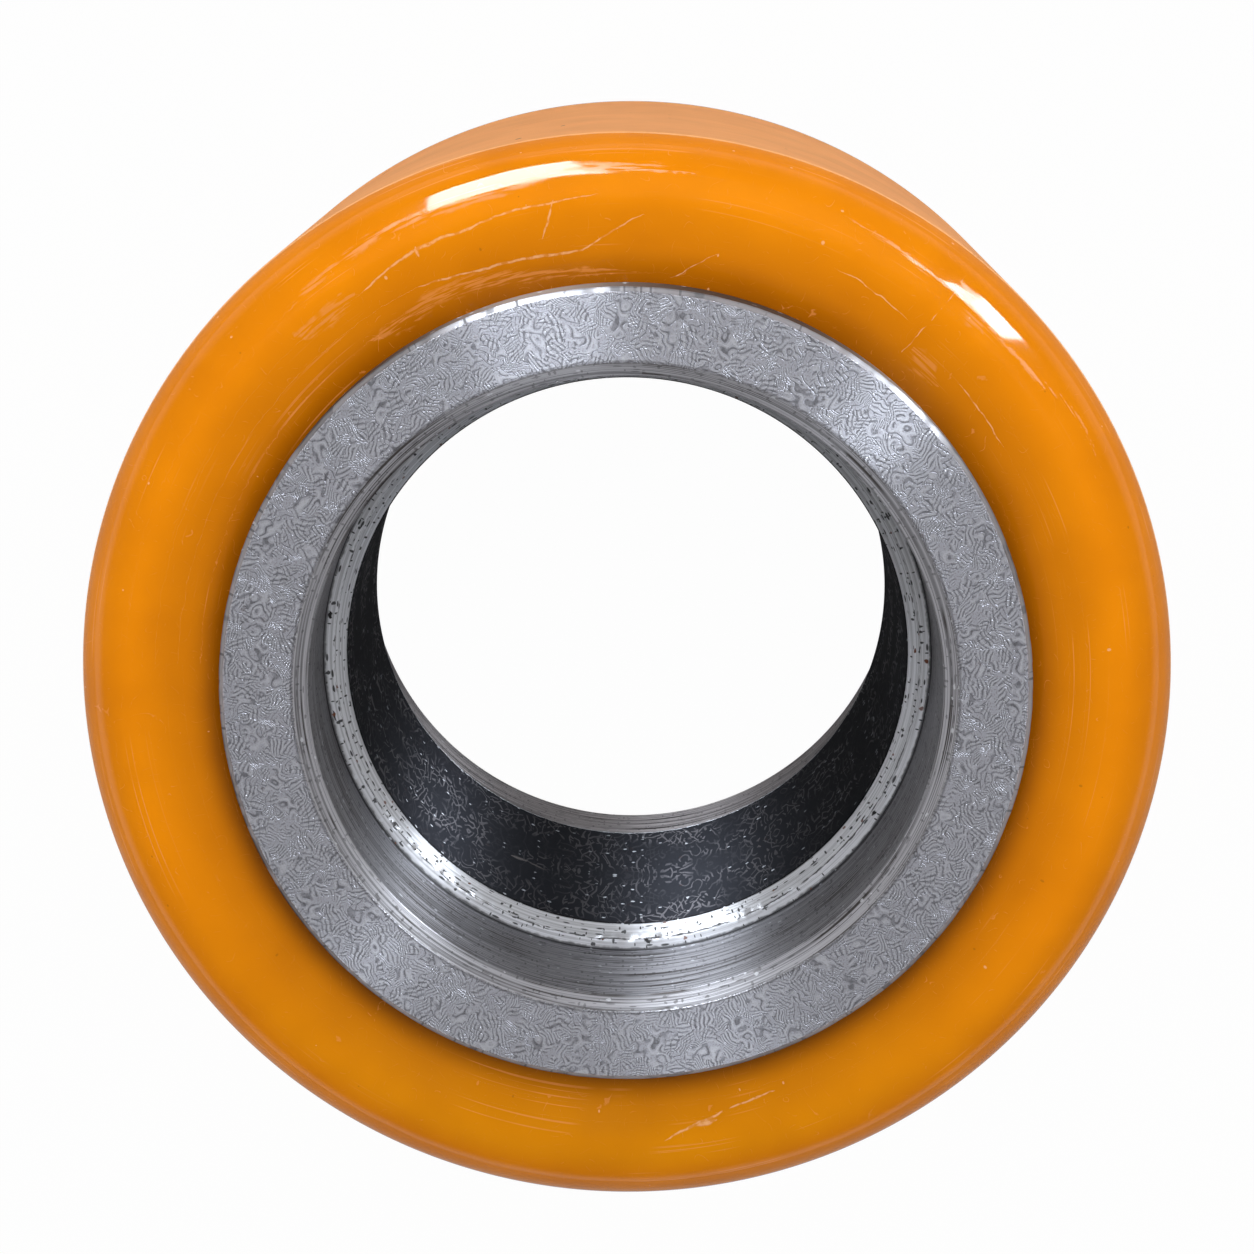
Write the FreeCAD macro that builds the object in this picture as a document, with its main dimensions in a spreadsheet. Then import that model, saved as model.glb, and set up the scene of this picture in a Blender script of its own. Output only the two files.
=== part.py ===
import FreeCAD, Part

import math
import os

import Sketcher
from FreeCAD import Vector

# The roller is a steel hub with a polyurethane tyre cast and bonded round it.
# Its axis is Z and it stands on one end of the hub, so the origin is the middle of that end.
# Each piece is drawn about its own mid-length plane and then raised by half the roller's length.

# Driving dimensions in millimetres

sizes = {
    "rollerLength": 80.0,  # end face to end face of the hub
    "seatDiameter": 72.0,  # bearing seat at each end of the hub
    "seatDepth": 18.0,  # hub end to shoulder
    "seatEntryWidth": 1.7,  # bevel at the mouth of the seat, across
    "seatEntryDepth": 1.5,  # the same bevel, along the axis
    "shoulderWidth": 1.35,  # flat ring that the bearing stops against
    "shoulderStep": 0.4,  # small step inside that ring
    "boreEdgeWidth": 1.4,  # bevel from the step to the inner bore, across
    "boreEdgeDepth": 1.8,  # the same bevel, along the axis
    "hubWall": 10.0,  # steel outside the bearing seat
    "hubEdge": 0.6,  # broken outer edge of each hub end
    "tyreThickness": 16.5,  # polyurethane outside the hub
    "tyreInset": 2.5,  # hub end down to the highest ring of the tyre's side
    "tyreDish": 2.5,  # further fall of the side from that ring to the hub
    "rimWidth": 6.5,  # tread in to that highest ring
    "rimRound": 7.0,  # cast round outside that ring
    "treadEdge": 1.0,  # smaller round where the tread is ground
}

doc = FreeCAD.newDocument("PolyurethaneRoller")

sheet = doc.addObject("Spreadsheet::Sheet", "Sizes")
for row, (alias, value) in enumerate(sizes.items(), start=1):
    sheet.set(f"A{row}", alias)
    sheet.set(f"B{row}", str(value))
    sheet.setAlias(f"B{row}", alias)
doc.recompute()

# Sizes that follow from the driving ones, as expressions

halfLength = "Sizes.rollerLength / 2"
seatRadius = "Sizes.seatDiameter / 2"
entryRadius = f"{seatRadius} + Sizes.seatEntryWidth"
shoulderRadius = f"{seatRadius} - Sizes.shoulderWidth"
boreRadius = f"{shoulderRadius} - Sizes.boreEdgeWidth"
hubRadius = f"{seatRadius} + Sizes.hubWall"
treadRadius = f"{hubRadius} + Sizes.tyreThickness"

entryHeight = f"{halfLength} - Sizes.seatEntryDepth"
shoulderHeight = f"{halfLength} - Sizes.seatDepth"
stepHeight = f"{shoulderHeight} - Sizes.shoulderStep"
boreHeight = f"{stepHeight} - Sizes.boreEdgeDepth"
rimHeight = f"{halfLength} - Sizes.tyreInset"
dishHeight = f"{rimHeight} - Sizes.tyreDish"


def originFeature(body, role):
    """The body's own plane or axis with this role."""
    return next(part for part in body.Origin.OriginFeatures if part.Role == role)


def newBody(name):
    """A body that is raised from its mid-length plane to stand on Z = 0."""
    body = doc.addObject("PartDesign::Body", name)
    body.Label = name
    body.Placement = FreeCAD.Placement(Vector(0, 0, 0), FreeCAD.Rotation())
    body.setExpression("Placement.Base.z", halfLength)
    return body


def newSectionSketch(body, name):
    """A sketch in the body's XZ plane: X is the radius and Y is the height."""
    sketch = body.newObject("Sketcher::SketchObject", name)
    sketch.AttachmentSupport = [(originFeature(body, "XZ_Plane"), "")]
    sketch.MapMode = "FlatFace"
    return sketch


def holdPoint(sketch, name, geometry, end, radius, height):
    """Ties one end of a sketch line to a named radius and a named height."""
    root = (-1, 1)
    for kind, label, size in (("DistanceX", "Radius", radius), ("DistanceY", "Height", height)):
        index = sketch.addConstraint(Sketcher.Constraint(kind, *root, geometry, end, 1.0))
        sketch.renameConstraint(index, name + label)
        sketch.setExpression(f"Constraints.{name}{label}", size)


def value(expression):
    """The size that an expression gives, for the first place of a sketch point."""
    return float(sheet.evalExpression(expression))


def addOutline(sketch, corners):
    """A closed outline of straight lines through named corners, each held at its radius and height."""
    places = [Vector(value(radius), value(height), 0) for _, radius, height in corners]
    count = len(corners)
    for index in range(count):
        sketch.addGeometry(Part.LineSegment(places[index], places[(index + 1) % count]), False)
    for index in range(count):
        sketch.addConstraint(Sketcher.Constraint("Coincident", index, 2, (index + 1) % count, 1))
    for index, (name, radius, height) in enumerate(corners):
        holdPoint(sketch, name, index, 1, radius, height)


def revolve(body, kind, name, sketch):
    """A full turn of the sketch about the body's Z axis."""
    feature = body.newObject(kind, name)
    feature.Profile = sketch
    feature.ReferenceAxis = (originFeature(body, "Z_Axis"), [""])
    feature.Angle = 360
    return feature


def circleEdges(shape, radius, height):
    """The names of the round edges of this radius at plus and minus this height."""
    names = []
    for index, edge in enumerate(shape.Edges, start=1):
        curve = edge.Curve
        isRound = isinstance(curve, Part.Circle) and abs(curve.Radius - radius) < 0.001
        if isRound and abs(abs(curve.Center.z) - height) < 0.001:
            names.append(f"Edge{index}")
    return names


# Steel hub: a turned sleeve with a stepped bearing seat at each end

hub = newBody("steel_hub")

sleeveSketch = newSectionSketch(hub, "HubSleeveSection")
addOutline(
    sleeveSketch,
    [
        ("boreFoot", boreRadius, f"-({halfLength})"),
        ("wallFoot", hubRadius, f"-({halfLength})"),
        ("wallHead", hubRadius, halfLength),
        ("boreHead", boreRadius, halfLength),
    ],
)
sleeve = revolve(hub, "PartDesign::Revolution", "HubSleeve", sleeveSketch)
doc.recompute()
sleeveVolume = sleeve.Shape.Volume

seatSketch = newSectionSketch(hub, "BearingSeatSection")
addOutline(
    seatSketch,
    [
        ("mouthMiddle", "0", halfLength),
        ("mouth", entryRadius, halfLength),
        ("entry", seatRadius, entryHeight),
        ("root", seatRadius, shoulderHeight),
        ("shoulder", shoulderRadius, shoulderHeight),
        ("step", shoulderRadius, stepHeight),
        ("bore", boreRadius, boreHeight),
        ("floorMiddle", "0", boreHeight),
    ],
)
seat = revolve(hub, "PartDesign::Groove", "BearingSeat", seatSketch)
doc.recompute()
seatVolume = sleeveVolume - seat.Shape.Volume

farSeat = hub.newObject("PartDesign::Mirrored", "FarBearingSeat")
farSeat.Originals = [seat]
farSeat.MirrorPlane = (originFeature(hub, "XY_Plane"), [""])
hub.Tip = farSeat
doc.recompute()

hubEdges = hub.newObject("PartDesign::Chamfer", "HubEdges")
hubEdges.Base = (farSeat, circleEdges(farSeat.Shape, value(hubRadius), value(halfLength)))
hubEdges.setExpression("Size", "Sizes.hubEdge")
hub.Tip = hubEdges

# Polyurethane tyre: a ring whose sides fall towards the hub and round over into the tread

tyre = newBody("polyurethane_tyre")

tyreSketch = newSectionSketch(tyre, "TyreSection")
rimRadius = f"{treadRadius} - Sizes.rimWidth"
roundHeight = f"{rimHeight} - Sizes.rimRound"

# First places of the sketch points, near enough for the tangents to settle the exact ones
bigRound = value("Sizes.rimRound")
smallRound = value("Sizes.treadEdge")
roundCentre = Vector(value(rimRadius), value(roundHeight), 0)
outward = value("Sizes.rimWidth") - smallRound
rise = math.sqrt((bigRound - smallRound) ** 2 - outward**2)
edgeCentre = roundCentre + Vector(outward, rise, 0)
turn = math.atan2(rise, outward)
innerTop = Vector(value(hubRadius), value(dishHeight), 0)
toRound = roundCentre - innerTop
up = math.pi / 2 + math.atan2(toRound.y, toRound.x) + math.asin(bigRound / toRound.Length)
rimTop = roundCentre + Vector(math.cos(up), math.sin(up), 0) * bigRound
treadTop = edgeCentre + Vector(smallRound, 0, 0)
innerFoot, rimFoot, treadFoot = (Vector(top.x, -top.y, 0) for top in (innerTop, rimTop, treadTop))
upward = Vector(0, 0, 1)
topCircle = Part.Circle(roundCentre, upward, bigRound)
topCorner = Part.Circle(edgeCentre, upward, smallRound)
footCircle = Part.Circle(Vector(roundCentre.x, -roundCentre.y, 0), upward, bigRound)
footCorner = Part.Circle(Vector(edgeCentre.x, -edgeCentre.y, 0), upward, smallRound)

bondLine = tyreSketch.addGeometry(Part.LineSegment(innerFoot, innerTop), False)
topSide = tyreSketch.addGeometry(Part.LineSegment(innerTop, rimTop), False)
topRound = tyreSketch.addGeometry(Part.ArcOfCircle(topCircle, turn, up), False)
topEdge = tyreSketch.addGeometry(Part.ArcOfCircle(topCorner, 0, turn), False)
treadLine = tyreSketch.addGeometry(Part.LineSegment(treadTop, treadFoot), False)
footEdge = tyreSketch.addGeometry(Part.ArcOfCircle(footCorner, -turn, 0), False)
footRound = tyreSketch.addGeometry(Part.ArcOfCircle(footCircle, -up, -turn), False)
footSide = tyreSketch.addGeometry(Part.LineSegment(rimFoot, innerFoot), False)

tyreSketch.addConstraint(
    [
        Sketcher.Constraint("Coincident", bondLine, 2, topSide, 1),
        Sketcher.Constraint("Tangent", topSide, 2, topRound, 2),
        Sketcher.Constraint("Tangent", topRound, 1, topEdge, 2),
        Sketcher.Constraint("Tangent", topEdge, 1, treadLine, 1),
        Sketcher.Constraint("Vertical", treadLine),
        Sketcher.Constraint("Tangent", treadLine, 2, footEdge, 2),
        Sketcher.Constraint("Tangent", footEdge, 1, footRound, 2),
        Sketcher.Constraint("Tangent", footRound, 1, footSide, 1),
        Sketcher.Constraint("Coincident", footSide, 2, bondLine, 1),
        Sketcher.Constraint("Equal", topRound, footRound),
        Sketcher.Constraint("Equal", topEdge, footEdge),
        Sketcher.Constraint("Symmetric", topRound, 3, footRound, 3, -1),
    ]
)
holdPoint(tyreSketch, "hubTop", topSide, 1, hubRadius, dishHeight)
holdPoint(tyreSketch, "hubFoot", bondLine, 1, hubRadius, f"-({dishHeight})")
holdPoint(tyreSketch, "roundCentre", topRound, 3, rimRadius, roundHeight)
for label, arc, size in (("rimRound", topRound, "rimRound"), ("treadEdge", topEdge, "treadEdge")):
    index = tyreSketch.addConstraint(Sketcher.Constraint("Radius", arc, value(f"Sizes.{size}")))
    tyreSketch.renameConstraint(index, label)
    tyreSketch.setExpression(f"Constraints.{label}", f"Sizes.{size}")
treadIndex = tyreSketch.addConstraint(
    Sketcher.Constraint("DistanceX", -1, 1, treadLine, 1, value(treadRadius))
)
tyreSketch.renameConstraint(treadIndex, "treadRadius")
tyreSketch.setExpression("Constraints.treadRadius", treadRadius)
tyreRing = revolve(tyre, "PartDesign::Revolution", "TyreRing", tyreSketch)

doc.recompute()

# Checks of the finished document

for part in doc.Objects:
    if "Invalid" in part.State or "Error" in part.State:
        raise RuntimeError(f"{part.Name} did not build: {part.State}")
for body in (hub, tyre):
    if body.Shape.isNull() or not body.Shape.isValid() or len(body.Shape.Solids) != 1:
        raise RuntimeError(f"{body.Label} is not one valid solid")
    print(f"{body.Label}: {body.Shape.Volume:.1f} cubic millimetres")
bothSeats = sleeveVolume - farSeat.Shape.Volume
if seatVolume <= 0 or abs(bothSeats - 2 * seatVolume) > 0.001 * seatVolume:
    raise RuntimeError("the bearing seats are not cut alike at both ends")
if len(tyre.Shape.Faces) != 8:
    raise RuntimeError("the tyre's section did not settle on its tangents")

os.makedirs("parts", exist_ok=True)
for body in (hub, tyre):
    body.Shape.exportStep(f"parts/{body.Label}.step")
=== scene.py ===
import math

import bpy
from mathutils import Matrix, Vector


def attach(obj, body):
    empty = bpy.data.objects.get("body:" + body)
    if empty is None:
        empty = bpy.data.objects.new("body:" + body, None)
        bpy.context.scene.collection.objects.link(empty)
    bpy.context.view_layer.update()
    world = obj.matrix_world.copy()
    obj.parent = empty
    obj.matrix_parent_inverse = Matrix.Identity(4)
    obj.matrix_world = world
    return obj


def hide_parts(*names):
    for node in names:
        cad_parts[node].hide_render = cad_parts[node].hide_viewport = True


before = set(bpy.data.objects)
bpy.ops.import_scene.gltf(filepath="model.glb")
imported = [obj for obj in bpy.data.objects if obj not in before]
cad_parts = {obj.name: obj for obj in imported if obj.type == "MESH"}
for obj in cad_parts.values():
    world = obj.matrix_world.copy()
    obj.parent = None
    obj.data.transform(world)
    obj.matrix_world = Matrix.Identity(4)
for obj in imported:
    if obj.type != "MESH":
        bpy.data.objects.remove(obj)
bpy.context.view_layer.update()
print("frame loaded:", sorted(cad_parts))

scene = bpy.context.scene
scene.view_settings.view_transform = "Standard"

millimetre = 0.001
midHeight = 40.0  # the roller is drawn about its middle plane, 40 mm above the floor


# Camera: where the photograph was taken from, nearly down the bore and turned 3 degrees

photoView = {
    "aim": (-0.2, 7.8, 80.0),  # mm, a little off the axis on the upper end face
    "distance": 359.1,  # mm
    "tilt": 12.24,  # degrees off the axis, towards +Y
    "roll": 2.99,
    "lens": 91.8,
    "sensor": 36.0,
    "nearest": 0.01,  # metres, nothing closer is drawn
}


def placeCamera(view):
    data = bpy.data.cameras.new("photoCamera")
    data.lens = view["lens"]
    data.sensor_width = view["sensor"]
    data.clip_start = view["nearest"]
    camera = bpy.data.objects.new("photoCamera", data)
    scene.collection.objects.link(camera)
    turn = Matrix.Rotation(math.radians(-view["tilt"]), 4, "X")
    turn = turn @ Matrix.Rotation(math.radians(view["roll"]), 4, "Z")
    away = turn @ Vector((0, 0, view["distance"] * millimetre))
    place = Vector(view["aim"]) * millimetre + away.to_3d()
    camera.matrix_world = Matrix.Translation(place) @ turn
    scene.camera = camera


placeCamera(photoView)
print("camera placed")


# Lamps: two far ones that only gloss sees, a near soft box and four fills that only matte colours see

lampParts = ("heading", "lean", "away", "size", "watts", "seenBy")  # in degrees and metres
lampSet = {
    "leftLamp": (110.5, 49.0, 1.2, (0.38, 0.60), 22.0, "gloss"),
    "rightLamp": (38.5, 49.0, 1.2, (0.18, 0.62), 13.5, "gloss"),
    "softBox": (84.0, 26.0, 0.26, (0.24, 0.24), 0.70, "matte"),
    "backFill": (84.0, 80.0, 1.0, (0.8, 0.5), 2.6, "matte"),
    "leftFill": (185.0, 76.0, 1.0, (0.6, 0.5), 3.2, "matte"),
    "frontFill": (268.0, 80.0, 1.0, (0.8, 0.4), 1.35, "matte"),
    "rightFill": (350.0, 76.0, 1.0, (0.6, 0.5), 2.0, "matte"),
}
lampTints = {"gloss": (0.86, 0.93, 1.0), "matte": (1.0, 1.0, 1.0)}
lampCentre = Vector((0, 0, 0.08))  # metres, the upper end face, that the lamps stand round


def addLamp(name, lamp):
    data = bpy.data.lights.new(name, "AREA")
    data.shape = "RECTANGLE"
    data.size, data.size_y = lamp["size"]
    data.energy = lamp["watts"]
    data.color = lampTints[lamp["seenBy"]]
    heading = math.radians(lamp["heading"])
    lean = math.radians(lamp["lean"])
    flat = math.sin(lean)
    toward = Vector((flat * math.cos(heading), flat * math.sin(heading), math.cos(lean)))
    made = bpy.data.objects.new(name, data)
    scene.collection.objects.link(made)
    made.location = toward * lamp["away"] + lampCentre
    made.rotation_euler = toward.to_track_quat("Z", "Y").to_euler()
    made.visible_diffuse = lamp["seenBy"] == "matte"
    made.visible_glossy = lamp["seenBy"] == "gloss"


for lampName, lampRow in lampSet.items():
    addLamp(lampName, dict(zip(lampParts, lampRow)))
print("lamps placed")


# Small helpers for the node trees

def addNode(tree, kind, values=None, **settings):
    made = tree.nodes.new(kind)
    for name, setting in settings.items():
        setattr(made, name, setting)
    for key, value in (values or {}).items():
        if isinstance(value, bpy.types.NodeSocket):
            tree.links.new(value, made.inputs[key])
        else:
            made.inputs[key].default_value = value
    return made


def maths(tree, operation, first, second=0.0, third=0.0, clamp=False):
    values = {0: first, 1: second, 2: third}
    return addNode(tree, "ShaderNodeMath", values, operation=operation, use_clamp=clamp).outputs[0]


def chain(tree, operation, values):
    result = values[0]
    for value in values[1:]:
        result = maths(tree, operation, result, value)
    return result


def times(tree, *values):
    return chain(tree, "MULTIPLY", values)


def most(tree, *values):
    return chain(tree, "MAXIMUM", values)


def minus(tree, first, second, clamp=False):
    return maths(tree, "SUBTRACT", first, second, clamp=clamp)


def gather(tree, start, shares):
    # start plus each value times its amount
    total = start
    for value, amount in shares:
        total = maths(tree, "MULTIPLY_ADD", value, amount, total)
    return total


def vectors(tree, operation, first, second=(0, 0, 0), scale=1.0):
    values = {0: first, "Scale": scale} if operation == "SCALE" else {0: first, 1: second}
    made = addNode(tree, "ShaderNodeVectorMath", values, operation=operation)
    return made.outputs["Value" if operation in ("LENGTH", "DOT_PRODUCT") else "Vector"]


def separate(tree, place):
    return addNode(tree, "ShaderNodeSeparateXYZ", {"Vector": place}).outputs


def combine(tree, across, along):
    return addNode(tree, "ShaderNodeCombineXYZ", {"X": across, "Y": along}).outputs[0]


def ramp(tree, value, low, high, toLow=0.0, toHigh=1.0):
    values = {"Value": value, "From Min": low, "From Max": high, "To Min": toLow, "To Max": toHigh}
    made = addNode(tree, "ShaderNodeMapRange", values, interpolation_type="SMOOTHSTEP")
    return made.outputs["Result"]


def fade(tree, value, low, high):
    return ramp(tree, value, low, high, 1.0, 0.0)


def clouds(tree, place, scale, detail):
    values = {"Vector": place, "Scale": scale, "Detail": detail}
    return addNode(tree, "ShaderNodeTexNoise", values, noise_dimensions="2D").outputs


def blendColour(tree, factor, under, over, mode="MIX"):
    made = addNode(tree, "ShaderNodeMix", data_type="RGBA", blend_type=mode)
    for key, value in ((0, factor), (6, under), (7, over)):
        if isinstance(value, bpy.types.NodeSocket):
            tree.links.new(value, made.inputs[key])
        else:
            made.inputs[key].default_value = value
    return made.outputs[2]


def layer(tree, colour, look, layers):
    # each layer is the name of its colour, and the masks and strengths that it is laid on with
    for name, *masks in layers:
        colour = blendColour(tree, times(tree, *masks), colour, look[name])
    return colour


def colourRamp(tree, value, stops):
    made = addNode(tree, "ShaderNodeValToRGB", {"Fac": value})
    elements = made.color_ramp.elements
    while len(elements) < len(stops):
        elements.new(0.5)
    for element, (position, colour) in zip(elements, stops):
        element.position = position
        element.color = (*colour, 1.0)
    return made.outputs["Color"]


def linear(red, green, blue):
    parts = []
    for part in (red, green, blue):
        part = part / 255
        parts.append(part / 12.92 if part <= 0.04045 else ((part + 0.055) / 1.055) ** 2.4)
    return tuple(parts)


def shade(red, green, blue):
    return (*linear(red, green, blue), 1.0)


def newGroup(name, inputs, outputs, vectorOutputs=()):
    # an input without a value is a vector, and every other socket is a number unless it is named as a vector
    tree = bpy.data.node_groups.new(name, "ShaderNodeTree")
    for label, value in inputs.items():
        kind = "NodeSocketVector" if value is None else "NodeSocketFloat"
        socket = tree.interface.new_socket(label, in_out="INPUT", socket_type=kind)
        if value is not None:
            socket.default_value = value
    for label in outputs:
        kind = "NodeSocketVector" if label in vectorOutputs else "NodeSocketFloat"
        tree.interface.new_socket(label, in_out="OUTPUT", socket_type=kind)
    entry = tree.nodes.new("NodeGroupInput")
    leave = tree.nodes.new("NodeGroupOutput")
    return tree, entry.outputs, leave.inputs


def placeGroup(tree, group, **values):
    return addNode(tree, "ShaderNodeGroup", values, node_tree=group).outputs


# Node groups shared by the steel and the polyurethane

fullTurn = 6.2832  # radians
arcRadius = 35.0  # mm, turns an angle into a length round the ring

strokeShape = {
    # clouds are given by their scale, in waves per millimetre
    "bendClouds": 0.55,
    "loopClouds": 0.42,
    "loops": 34.0,  # how tightly the loops lie on the clouds that they follow
    "cutClouds": 0.34,
    "cutPlace": (31.0, 17.0, 0.0),  # these clouds are moved on, so that they do not follow the others
    "cut": (0.4, 0.44),  # the range of the clouds where loops give way to strokes
    "breakAhead": 1.3,
    "breakAcross": 1.1,
    "crossing": 1.2,  # radians between the two directions of the strokes
    "crossingWaves": 5.2,
    "uncrossed": 0.25,  # the share of the patches without the second direction
}


def makeRingPlace():
    # where a point lies on the ring, in millimetres and degrees
    tree, given, result = newGroup(
        "ringPlace",
        {"Place": None},
        ["Millimetres", "Radius", "Level", "Along", "Angle", "Arc", "Round"],
        ["Millimetres", "Round"],
    )
    size = vectors(tree, "SCALE", given["Place"], scale=1000.0)
    flat = vectors(tree, "MULTIPLY", size, (1, 1, 0))
    parts = separate(tree, size)
    radius = vectors(tree, "LENGTH", flat)
    level = maths(tree, "ABSOLUTE", minus(tree, parts["Z"], midHeight))
    angle = maths(tree, "DEGREES", maths(tree, "ARCTAN2", parts["Y"], parts["X"]))
    backwards = times(tree, parts["Y"], -1.0)
    fromMinusY = maths(tree, "ARCTAN2", parts["X"], backwards)
    tree.links.new(size, result["Millimetres"])
    tree.links.new(radius, result["Radius"])
    tree.links.new(level, result["Level"])
    tree.links.new(maths(tree, "ADD", radius, level), result["Along"])
    tree.links.new(angle, result["Angle"])
    tree.links.new(times(tree, fromMinusY, arcRadius), result["Arc"])  # its seam lies at +Y
    tree.links.new(vectors(tree, "NORMALIZE", combine(tree, backwards, parts["X"])), result["Round"])
    return tree


def makeTurningLines():
    # lines that a lathe tool leaves: long round the ring, short across it
    tree, given, result = newGroup(
        "turningLines",
        {"Millimetres": None, "Along": 0.0, "Across": 4.0, "Arc": 0.03, "Detail": 2.0},
        ["Lines"],
    )
    parts = separate(tree, given["Millimetres"])
    sideways = gather(tree, parts["X"], [(parts["Y"], 0.6)])  # changes all the way round
    sideways = times(tree, sideways, given["Arc"])
    stretched = combine(tree, sideways, times(tree, given["Along"], given["Across"]))
    pattern = clouds(tree, stretched, scale=1.0, detail=given["Detail"])
    tree.links.new(pattern[0], result["Lines"])
    return tree


def acrossStrokes(tree, parts, turn):
    across = times(tree, parts["X"], maths(tree, "COSINE", turn))
    return gather(tree, across, [(parts["Y"], maths(tree, "SINE", turn))])


def waveOf(tree, place, spacing, waves=fullTurn):
    return maths(tree, "SINE", maths(tree, "DIVIDE", times(tree, place, waves), spacing))


def makeStrokePatches(shape):
    # patches of bent strokes, each patch in its own direction, with loops between them
    inputs = {"Place": None, "Patch": 2.2, "Spacing": 0.5}
    tree, given, result = newGroup("strokePatches", inputs, ["Groove", "Lip", "Depth"])
    place = given["Place"]
    bent = shift(tree, place, wanderings(tree, place, scale=shape["bendClouds"], detail=1.0), 1.0)
    values = {"Vector": bent, "Scale": maths(tree, "DIVIDE", 1.0, given["Patch"])}
    cells = addNode(tree, "ShaderNodeTexVoronoi", values, voronoi_dimensions="2D")
    chance = addNode(tree, "ShaderNodeSeparateColor", {"Color": cells.outputs["Color"]}).outputs
    turn = times(tree, chance[0], fullTurn)
    parts = separate(tree, bent)
    across = acrossStrokes(tree, parts, turn)
    spacing = times(tree, given["Spacing"], gather(tree, 0.6, [(chance[1], 0.9)]))
    wave = waveOf(tree, across, spacing)

    # loops where there are no strokes, and places where both lie shallow
    contour = clouds(tree, place, scale=shape["loopClouds"], detail=1.0)[0]
    loops = maths(tree, "SINE", times(tree, contour, shape["loops"]))
    elsewhere = vectors(tree, "ADD", place, shape["cutPlace"])
    cut = clouds(tree, elsewhere, scale=shape["cutClouds"], detail=2.0)[0]
    keep = ramp(tree, cut, *shape["cut"])
    depth = ramp(tree, maths(tree, "PINGPONG", cut, 0.09), 0.0, 0.07, 0.6, 1.0)

    # breaks along the strokes
    ahead = times(tree, parts["Y"], maths(tree, "COSINE", turn))
    ahead = minus(tree, ahead, times(tree, parts["X"], maths(tree, "SINE", turn)))
    ahead = gather(tree, times(tree, across, shape["breakAcross"]), [(ahead, shape["breakAhead"])])
    wave = times(tree, wave, ramp(tree, maths(tree, "SINE", ahead), -0.98, -0.7))
    wave = maths(tree, "MULTIPLY_ADD", minus(tree, wave, loops), keep, loops)

    # a second direction that crosses the first in most patches
    crossing = acrossStrokes(tree, parts, maths(tree, "ADD", turn, shape["crossing"]))
    other = ramp(tree, waveOf(tree, crossing, spacing, waves=shape["crossingWaves"]), 0.7, 0.97)
    other = times(tree, other, maths(tree, "GREATER_THAN", chance[2], shape["uncrossed"]), keep)
    tree.links.new(most(tree, ramp(tree, wave, 0.28, 0.9), other), result["Groove"])
    tree.links.new(ramp(tree, wave, -0.45, -0.92), result["Lip"])
    tree.links.new(depth, result["Depth"])
    return tree


def makeSpecks():
    # small spots of three kinds, one cell in so many
    inputs = {"Place": None, "Spacing": 3.0, "Size": 0.2}
    inputs.update({"Dark Share": 0.3, "Pale Share": 0.2, "Rust Share": 0.0})
    tree, given, result = newGroup("specks", inputs, ["Dark", "Pale", "Rust"])
    values = {"Vector": given["Place"], "Scale": maths(tree, "DIVIDE", 1.0, given["Spacing"])}
    cells = addNode(tree, "ShaderNodeTexVoronoi", values, voronoi_dimensions="2D")
    reach = times(tree, cells.outputs["Distance"], given["Spacing"])
    chance = addNode(tree, "ShaderNodeSeparateColor", {"Color": cells.outputs["Color"]}).outputs
    own = times(tree, given["Size"], gather(tree, 0.3, [(chance[1], 0.7)]))
    spot = fade(tree, reach, times(tree, own, 0.6), own)
    dark = maths(tree, "LESS_THAN", chance[0], given["Dark Share"])
    pale = maths(tree, "GREATER_THAN", chance[0], minus(tree, 1.0, given["Pale Share"]))
    rust = maths(tree, "LESS_THAN", chance[2], given["Rust Share"])
    for label, kind in (("Dark", dark), ("Pale", pale), ("Rust", rust)):
        tree.links.new(times(tree, spot, kind), result[label])
    return tree


def makeStraightMark():
    # one piece of a listed scratch, in millimetres, that thins out at its ends
    inputs = {"Place": None, "From": None, "To": None, "Width": 0.2}
    tree, given, result = newGroup("straightMark", inputs, ["Mark"])
    run = vectors(tree, "SUBTRACT", given["To"], given["From"])
    out = vectors(tree, "SUBTRACT", given["Place"], given["From"])
    length = vectors(tree, "DOT_PRODUCT", run, run)
    share = maths(tree, "DIVIDE", vectors(tree, "DOT_PRODUCT", out, run), length, clamp=True)
    aside = vectors(tree, "SUBTRACT", out, vectors(tree, "SCALE", run, scale=share))
    ends = times(tree, share, minus(tree, 1.0, share), 4.0)
    width = times(tree, given["Width"], gather(tree, 0.3, [(ends, 0.7)]))
    away = vectors(tree, "LENGTH", aside)
    tree.links.new(fade(tree, away, times(tree, width, 0.35), width), result["Mark"])
    return tree


def makeEdgeBand():
    # a band along a round edge that is named by its radius and its level, for wear, dark lines and painted
    # highlights
    inputs = {"Grit": 0.5, "Radius": 0.0, "Level": 0.0}
    inputs.update({"Edge Radius": 0.0, "Edge Level": 0.0, "Width": 0.3, "Uneven": 0.6})
    tree, given, result = newGroup("edgeBand", inputs, ["Wear"])
    out = minus(tree, given["Radius"], given["Edge Radius"])
    up = minus(tree, given["Level"], given["Edge Level"])
    away = maths(tree, "SQRT", maths(tree, "ADD", times(tree, out, out), times(tree, up, up)))
    vary = times(tree, minus(tree, given["Grit"], 0.5), given["Uneven"])
    width = most(tree, maths(tree, "ADD", given["Width"], vary), 0.01)
    tree.links.new(fade(tree, away, times(tree, width, 0.4), width), result["Wear"])
    return tree


def wanderings(tree, place, scale, detail):
    return vectors(tree, "SUBTRACT", clouds(tree, place, scale, detail)["Color"], (0.5, 0.5, 0.5))


def shift(tree, place, wander, reach):
    return vectors(tree, "ADD", place, vectors(tree, "SCALE", wander, scale=reach))


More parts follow.
